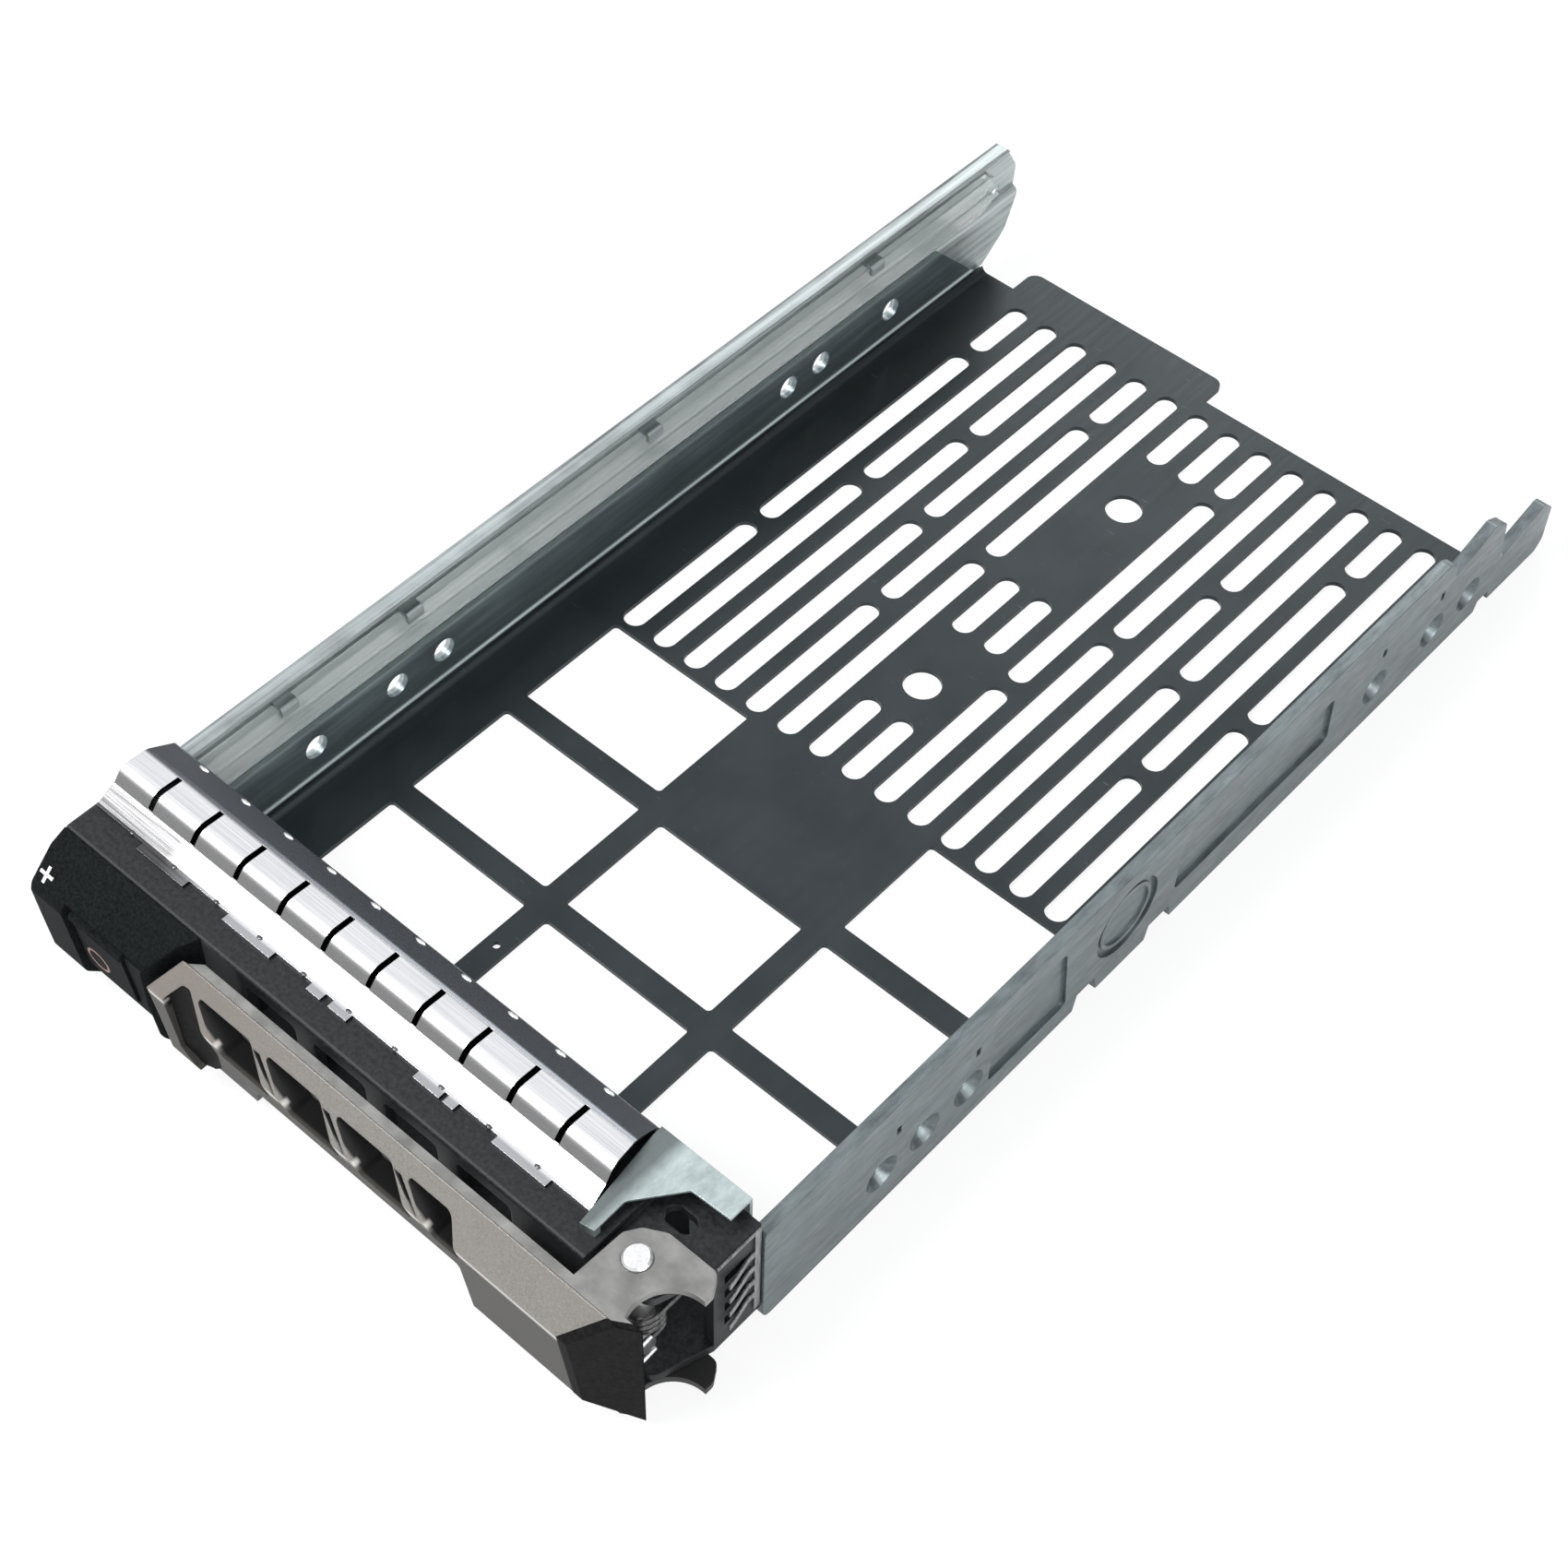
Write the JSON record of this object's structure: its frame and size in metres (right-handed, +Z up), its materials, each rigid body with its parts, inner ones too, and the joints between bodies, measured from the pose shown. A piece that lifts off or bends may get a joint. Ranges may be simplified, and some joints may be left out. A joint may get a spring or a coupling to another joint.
{
  "type": "hot swap drive caddy",
  "caption": "Sheet metal tray with side rails, a vented swing handle, a push-button latch and a spring-finger shield, for a 3.5 inch server drive.",
  "frame": {"origin": "top face of the tray floor, on the centre plane, in the middle of the solid seat plate", "axes": "+Z up out of the floor, -Y towards the handle, +X towards the handle's hinge"},
  "size_m": [0.1098, 0.209, 0.0287],
  "materials": {
    "zinc_sheet": "zinc plated sheet, satin with a slight green-grey tone",
    "zinc_casting": "zinc plated, softly mottled",
    "spring_steel": "bright stainless spring strip",
    "screw_steel": "bright zinc",
    "black_plastic": "fine textured black",
    "grip_paint": "warm titanium grey paint with a soft sheen",
    "lever_metal": "die-cast grey metal",
    "light_pipe": "clear acrylic",
    "button_plastic": "satin black with a copper ring"
  },
  "bodies": {
    "caddy": {"activity_light_pipe": "light_pipe", "bezel_body": "black_plastic", "bezel_cap": "black_plastic", "bezel_screws": "screw_steel", "emi_corner_bracket": "zinc_casting", "emi_side_fingers": "spring_steel", "emi_top_strip": "spring_steel", "latch_housing": "black_plastic", "latch_spring": "spring_steel", "left_rail": "zinc_casting", "pivot_pin": "screw_steel", "right_rail": "zinc_casting", "status_light_pipe": "light_pipe", "tray": "zinc_sheet", "tray_left_wall": "zinc_sheet", "tray_right_wall": "zinc_sheet"},
    "handle": {"handle_cover": "grip_paint", "finger_pad": "black_plastic", "handle_lever": "lever_metal", "handle_end_cap": "black_plastic", "torsion_spring": "spring_steel"},
    "button": {"release_button": "button_plastic"},
    "latch": {"latch_slider": "black_plastic"}
  },
  "joints": [
    {"name": "handle_hinge", "type": "hinge", "parent": "caddy", "child": "handle", "pos_m": [0.046, -0.0762, 0.012], "axis": [0, 0, 1], "range_deg": [0, 50]},
    {"name": "button_slide", "type": "slide", "parent": "caddy", "child": "button", "axis": [0, 1, 0], "range_m": [0, 0.0022], "stiffness_N_per_m": 300},
    {"name": "latch_slide", "type": "slide", "parent": "caddy", "child": "latch", "axis": [-1, 0, 0], "range_m": [0, 0.0022]}
  ],
  "couplings": [
    {"joint": "latch_slide", "follows": "button_slide", "ratio": 1}
  ]
}
